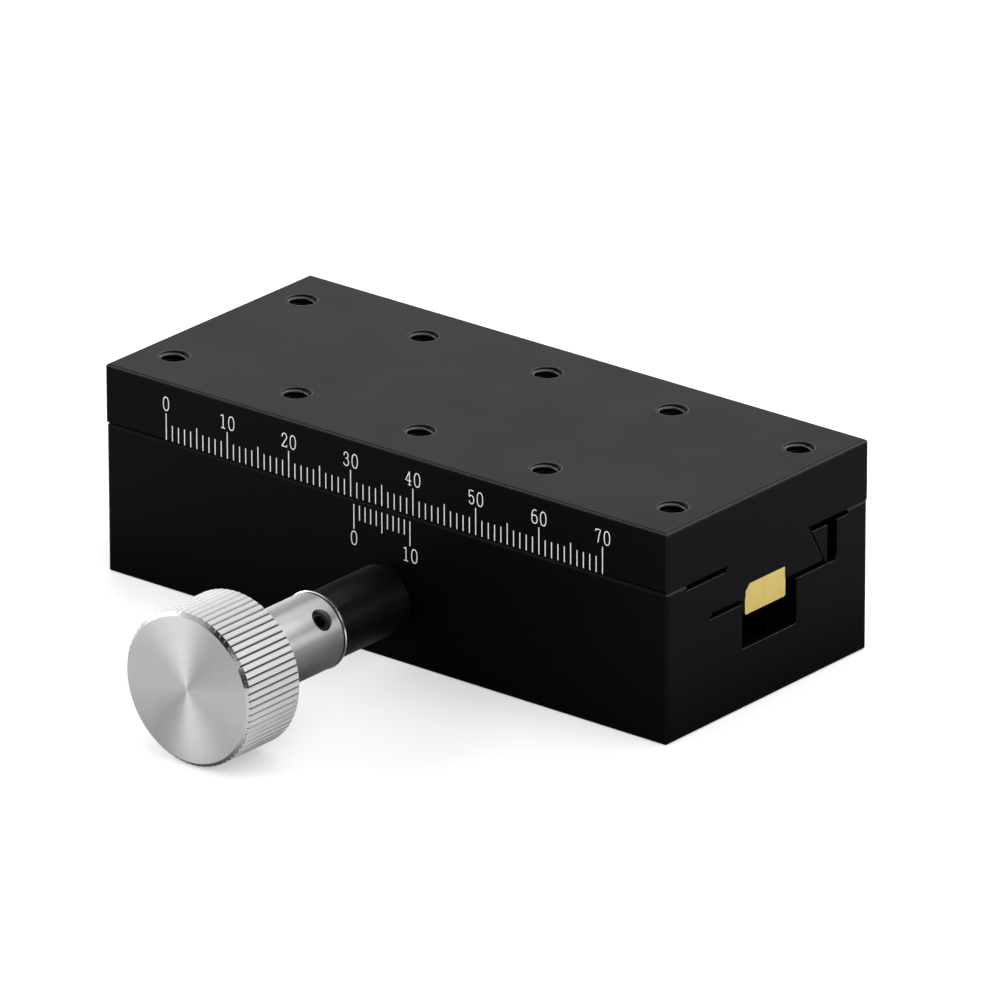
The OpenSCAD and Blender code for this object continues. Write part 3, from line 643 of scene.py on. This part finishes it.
def figures(text, x, z):
    """Strips of a number centred on x and standing on z, in millimetres."""
    shells = []
    for place, figure in enumerate(text):
        middle = x + (place - (len(text) - 1) / 2) * FIGURE_PITCH
        for stroke, closed in FIGURES[figure]:
            shells.append(engraved(np.asarray(stroke) * FIGURE_SCALE + (middle, z), PEN_WIDTH, closed))
    return shells


scale_figures = []
for mark in range(0, SCALE_LENGTH + 1, 10):
    scale_figures += figures(str(mark), mark - SCALE_LENGTH / 2, SCALE_FIGURE_FOOT)
make_piece("scale_figures", scale_figures, "carriage", white_fill)
vernier_figures = (figures("0", VERNIER_START, VERNIER_FIGURE_FOOT)
                   + figures("10", -VERNIER_START, VERNIER_FIGURE_FOOT))
make_piece("vernier_figures", vernier_figures, "base", white_fill)

# %% [markdown]
# ## Threads in the tapped holes
#
# The solid model has each hole with a plain wall. To the eye the thread is a thin bright crest just
# inside the mouth, and darker ones below it. It is one low ridge carried along a helix: at the angle
# a the point is the centre + radius * (cos a, sin a) + pitch * a / 2pi along the axis. The ridge's
# foot is sunk into the wall, so no gap shows, and over the last quarter turn at each end the radius
# grows until the whole ridge has sunk, as a thread runs out. A bump map could shade such crests, but
# it could not narrow the outline of the hole.

# %% Helical ridges
RIDGE_SINK, RIDGE_FOOT, RIDGE_CREST = 0.05, 0.32, 0.06


def thread(centre, axis, radius, pitch, length, height, steps=36):
    """A ridge on the wall of a hole, from centre along axis for length, in millimetres.

    Its profile is RIDGE_FOOT pitches wide either way at the wall and RIDGE_CREST at the crest."""
    axis = np.asarray(axis, float)
    side = np.cross(axis, [0.0, 1.0, 0.0] if abs(axis[1]) < 0.9 else [1.0, 0.0, 0.0])
    side /= np.linalg.norm(side)
    other = np.cross(axis, side)
    turns = length / pitch
    a = np.linspace(0, 2 * np.pi * turns, int(turns * steps) + 1)[:, None]
    inward = -(np.cos(a) * side + np.sin(a) * other)
    run_out = 1 - np.clip(np.minimum(a, a[-1] - a) / (np.pi / 2), 0, 1)
    path = (np.asarray(centre, float) - (radius + height * run_out) * inward
            + axis * (pitch * a / (2 * np.pi)))
    up = np.tile(axis, (len(a), 1))
    profile = np.array([[-RIDGE_SINK, -RIDGE_FOOT * pitch], [height, -RIDGE_CREST * pitch],
                        [height, RIDGE_CREST * pitch], [-RIDGE_SINK, RIDGE_FOOT * pitch]])
    return swept(path, inward, up, profile)

# %% Threads of the top holes
TOP_THREAD = {"radius": 1.65, "pitch": 0.7, "length": 7.1, "height": 0.14}
TOP_THREAD_FOOT = 20.63
top_threads = [thread((x, y, TOP_THREAD_FOOT), (0, 0, 1), **TOP_THREAD)
               for x in (-40, -20, 0, 20, 40) for y in (-12.5, 12.5)]
make_piece("top_threads", top_threads, "carriage", tapped_thread, smooth=True)

# %% Threads before the set screws
# A set screw fills its hole but for the last 0.6 mm, so little more than half a turn shows there.
BACK_HOLES_Z = 16.6
GIB_HOLES_X = (-32, -16, 16, 32)
SCREW_RADIUS, LOCK_RADIUS = 1.51, 2.01
FINE_THREAD = {"pitch": 0.5, "height": 0.12}
back_threads = [thread((x, 19.42, BACK_HOLES_Z), (0, 1, 0), SCREW_RADIUS, length=0.3, **FINE_THREAD)
                for x in GIB_HOLES_X]
back_threads.append(thread((0, 19.40, BACK_HOLES_Z), (0, 1, 0), LOCK_RADIUS, length=0.3, **FINE_THREAD))
make_piece("back_threads", back_threads, "base", tapped_thread, smooth=True)
KNOB_SCREW_ANGLE = math.radians(42)
KNOB_SCREW_Y = -35.95
KNOB_THREAD_FROM_AXIS = 4.45
knob_axis = (math.cos(KNOB_SCREW_ANGLE), 0, math.sin(KNOB_SCREW_ANGLE))
knob_start = np.array([0, KNOB_SCREW_Y, AXIS_Z]) + KNOB_THREAD_FROM_AXIS * np.array(knob_axis)
knob_thread = thread(knob_start, knob_axis, SCREW_RADIUS, length=0.42, **FINE_THREAD)
make_piece("knob_thread", [knob_thread], "knob", bright_knob, smooth=True)

# %% [markdown]
# ## The lip on the hub's end
#
# The hub ends in a fine lip that catches the light all the way round. It is a ring whose profile
# rises at 45 degrees on the side of the head, so this flank always mirrors the bright side of the
# room. At the angle a it stands at (5 cos a, y, 5 sin a + 7.83) in millimetres.

# %% Hub lip
LIP_RADIUS, LIP_Y = 5.0, -32.98
a = np.linspace(0, 2 * np.pi, 144, endpoint=False)
spokes = np.column_stack([np.cos(a), np.zeros(len(a)), np.sin(a)])
lip_path = LIP_RADIUS * spokes + (0.0, LIP_Y, AXIS_Z)
lip_profile = np.array([[-0.17, -0.05], [-0.02, 0.10], [0.06, 0.10], [0.12, 0.05], [0.12, -0.05]])
lip = swept(lip_path, np.tile([0.0, 1.0, 0.0], (len(a), 1)), spokes, lip_profile, ring=True)
make_piece("hub_lip", [lip], "knob", polished_lip)

# %% [markdown]
# ## The sheet
#
# The base stands on a white sheet. The knob is larger than its axis is high, so it reaches 2.2 mm
# below the base, and in use the stage stands at an edge or on a plate. The sheet therefore stays
# flat under the base and bends down a little before it reaches the knob.

# %% White sheet
SHEET_HALF = 4.0
SHEET_GAP, SHEET_DROP = 0.01, 2.35
BEND_START, BEND_END = -21.0, -45.0


def sheet_height(y):
    """Flat behind BEND_START, SHEET_DROP lower before BEND_END, and between them a smooth step
    s * s * (3 - 2 s), where s is the way travelled through the bend. It is in millimetres."""
    s = np.clip((BEND_START - y) / (BEND_START - BEND_END), 0, 1)
    return -SHEET_GAP - SHEET_DROP * s * s * (3 - 2 * s)


across_sheet = np.array([-SHEET_HALF, SHEET_HALF]) / MM
down_sheet = np.concatenate([[-SHEET_HALF / MM], np.linspace(BEND_END, BEND_START, 49), [SHEET_HALF / MM]])
x, y = np.meshgrid(across_sheet, down_sheet)
rows = np.arange(len(down_sheet) - 1)[:, None] * 2
sheet_mesh = bpy.data.meshes.new("sheet")
sheet_mesh.from_pydata(np.column_stack([x.ravel(), y.ravel(), sheet_height(y.ravel())]) * MM, [],
                       (rows + np.array([0, 1, 3, 2])).tolist())
sheet_mesh.polygons.foreach_set("use_smooth", [True] * len(sheet_mesh.polygons))
sheet_object = bpy.data.objects.new("sheet", sheet_mesh)
bpy.context.scene.collection.objects.link(sheet_object)
print("sheet drops", SHEET_DROP, "mm before the knob")

# %% [markdown]
# ## Paper for the camera, painted shade for the rest
#
# The sheet looks white because its material adds a plain glow for the camera, through Light Path,
# and not because more light falls on the object. So the shadow stays, and black stays black. The
# glow grows far away, where the lamps no longer reach, so a low view has no grey strip.
#
# To every other ray the sheet carries painted shade round the stage: grey close to it, turning white 50 mm
# out, and darkest below the knob, where it is a painted shadow. Black metal and the underside of the knob
# then stay dark in their reflections, and less light bounces up from the sheet. The distance from the base
# is the length of (3 dx, dy), where dx and dy are how far the point lies beyond the base's end and side,
# so the painted shade is narrower at the ends.

# %% Sheet material
paper = bpy.data.materials.new("white_sheet")
paper.use_nodes = True
tree = paper.node_tree
tree.nodes.clear()
SHEET_GLOW, GLOW_RISE, GLOW_FULL = 0.37, 0.25, 0.9
# Painted shade round the stage, for every ray but the camera's: where it starts and ends, and how much
# narrower it is at the ends.
SHADE_EDGE, SHADE_END, SHADE_NARROWING = 0.008, 0.05, 3.0
# Painted shadow below the knob: its centre, and the distances where it starts to fade and where it is
# gone.
BELOW_KNOB, KNOB_SHADE_EDGE, KNOB_SHADE_END = (0.004, -0.047, -SHEET_DROP * MM), 0.008, 0.018
# Greys of the sheet: white, the painted shade round the stage and the painted shadow below the knob.
WHITE, PAINTED_SHADE_GREY, KNOB_PAINTED_SHADE_GREY = grey(0.86), grey(0.38), grey(0.12)
MIRRORED_GLOW = 0.25
path = put(tree, "ShaderNodeLightPath").outputs
vector = put(tree, "ShaderNodeTexCoord").outputs["Object"]
place = put(tree, "ShaderNodeSeparateXYZ", {0: vector}).outputs
beyond = [calc(tree, "MAXIMUM", calc(tree, "SUBTRACT", calc(tree, "ABSOLUTE", place[axis]), half), 0.0)
          for axis, half in (("X", HALF_LENGTH), ("Y", HALF_WIDTH))]
endways = calc(tree, "MULTIPLY", beyond[0], SHADE_NARROWING)
away = calc(tree, "SQRT", calc(tree, "ADD", calc(tree, "POWER", endways, 2.0),
                               calc(tree, "POWER", beyond[1], 2.0)))
open_sheet = put(tree, "ShaderNodeMapRange", {"Value": away, "From Min": SHADE_EDGE, "From Max": SHADE_END},
                 interpolation_type="SMOOTHSTEP").outputs[0]
# Painted shadow below the knob: darkest at its centre and gone 18 mm away.
from_knob = put(tree, "ShaderNodeVectorMath", {0: vector, 1: BELOW_KNOB}, operation="DISTANCE")
off_knob = put(tree, "ShaderNodeMapRange",
               {"Value": from_knob.outputs["Value"], "From Min": KNOB_SHADE_EDGE, "From Max": KNOB_SHADE_END},
               interpolation_type="SMOOTHSTEP").outputs[0]
open_sheet = calc(tree, "MULTIPLY", open_sheet, off_knob)
# Painted shade round the stage and painted shadow below the knob, in the sheet's colour for every ray but
# the camera's.
painted_shade_colour = blend_colours(tree, off_knob, KNOB_PAINTED_SHADE_GREY, PAINTED_SHADE_GREY)
painted_shade_colour = blend_colours(tree, open_sheet, painted_shade_colour, WHITE)
sheet_colour = blend_colours(tree, path["Is Camera Ray"], painted_shade_colour, WHITE)
matt = put(tree, "ShaderNodeBsdfDiffuse", {"Color": sheet_colour})
# Inside the painted shade the glow is left out of reflections as well.
mirrored = calc(tree, "MULTIPLY", path["Is Glossy Ray"], calc(tree, "MULTIPLY", open_sheet, MIRRORED_GLOW))
far_glow = put(tree, "ShaderNodeMapRange", {"Value": away, "From Min": GLOW_RISE, "From Max": GLOW_FULL,
                                            "To Min": SHEET_GLOW, "To Max": 1.0}).outputs[0]
seen = calc(tree, "MAXIMUM", calc(tree, "MULTIPLY", path["Is Camera Ray"], far_glow),
            calc(tree, "MULTIPLY", mirrored, SHEET_GLOW))
glow = put(tree, "ShaderNodeEmission", {"Strength": seen})
both = put(tree, "ShaderNodeAddShader", {0: matt.outputs[0], 1: glow.outputs[0]})
put(tree, "ShaderNodeOutputMaterial", {"Surface": both.outputs[0]})
sheet_mesh.materials.append(paper)
print("sheet glows", SHEET_GLOW, "for the camera near the stage, and 1.0 from", GLOW_FULL, "m on")

# %% [markdown]
# ## The world
#
# In reflections the world is a white tent, a little darker overhead, with one dark opening towards
# the room: turned metal needs both, or it looks like grey paint. The opening is found by the dot
# product of the ray's direction with ROOM_DIRECTION, which is largest along it. As a light the
# world is dimmer and even, and Light Path tells the two uses apart. A panorama of a studio would do
# the same, but it would have to be loaded from a file.

# %% World
world = bpy.data.worlds.new("studio")
world.use_nodes = True
tree = world.node_tree
tree.nodes.clear()
AMBIENT, OVERHEAD = 0.4, 0.7
ROOM_DIRECTION, ROOM_LIGHT = (0.50, -0.75, 0.43), 0.04
ROOM_EDGE, ROOM_CORE = 0.5, 0.85
direction = put(tree, "ShaderNodeTexCoord").outputs["Generated"]
height = put(tree, "ShaderNodeSeparateXYZ", {0: direction}).outputs["Z"]
dome = put(tree, "ShaderNodeMapRange", {"Value": height, "From Min": 0.2, "From Max": 0.9,
                                        "To Min": 1.0, "To Max": OVERHEAD}).outputs[0]
towards_room = put(tree, "ShaderNodeVectorMath", {0: direction, 1: ROOM_DIRECTION},
                   operation="DOT_PRODUCT").outputs["Value"]
room = put(tree, "ShaderNodeMapRange", {"Value": towards_room, "From Min": ROOM_EDGE,
                                        "From Max": ROOM_CORE, "To Min": 1.0, "To Max": ROOM_LIGHT},
           interpolation_type="SMOOTHSTEP").outputs[0]
dome = calc(tree, "MULTIPLY", dome, room)
path = put(tree, "ShaderNodeLightPath").outputs
seen = calc(tree, "MAXIMUM", path["Is Camera Ray"], path["Is Glossy Ray"])
seen = calc(tree, "MAXIMUM", seen, path["Is Transmission Ray"])
extra = calc(tree, "MULTIPLY", seen, calc(tree, "SUBTRACT", dome, AMBIENT))
strength = calc(tree, "ADD", extra, AMBIENT)
ground = put(tree, "ShaderNodeBackground", {"Color": grey(1.0), "Strength": strength})
put(tree, "ShaderNodeOutputWorld", {"Surface": ground.outputs[0]})
bpy.context.scene.world = world
bpy.context.scene.view_settings.view_transform = "Standard"
print("world: a white tent in reflections,", AMBIENT, "as a light")

# %% [markdown]
# ## Soft boxes
#
# Seven large lamps stand about a metre off, and each fills one family of faces with a reflection:
# overhead and far_edge light the top and its far edge, behind the upper side of the knob and hub,
# right_side the end face and the brass, front_right and knob_light the two halves of the bow tie on
# the knob's face, and left_low the left side of the flutes. All are weak, so a colour renders about
# as it is written.

# %% Lamps
def soft_box(name, place, width, height, watts):
    """A rectangular lamp at place, in metres, that faces the stage."""
    lamp = bpy.data.lights.new(name, "AREA")
    lamp.shape = "RECTANGLE"
    lamp.size, lamp.size_y = width, height
    lamp.energy = watts
    holder = bpy.data.objects.new(name, lamp)
    holder.location = place
    aim = -holder.location
    holder.rotation_euler = aim.to_track_quat("-Z", "Y").to_euler()
    bpy.context.scene.collection.objects.link(holder)
    print(f"{name}: {watts} W at {holder.location.length:.2f} m")


soft_box("overhead", (0.05, 0.45, 0.9), 0.8, 0.8, 3.1)
soft_box("far_edge", (0.376, 0.717, 0.586), 0.5, 0.5, 2.5)
soft_box("behind", (-0.90, 0.80, 0.42), 0.8, 0.5, 1.8)
soft_box("right_side", (0.92, 0.05, 0.38), 0.6, 0.4, 2.4)
soft_box("front_right", (0.75, -0.45, 0.60), 0.7, 0.5, 2.2)
soft_box("knob_light", (-0.80, -0.45, 0.40), 1.1, 0.4, 5.8)
soft_box("left_low", (-0.95, -0.25, 0.12), 0.5, 0.3, 1.4)
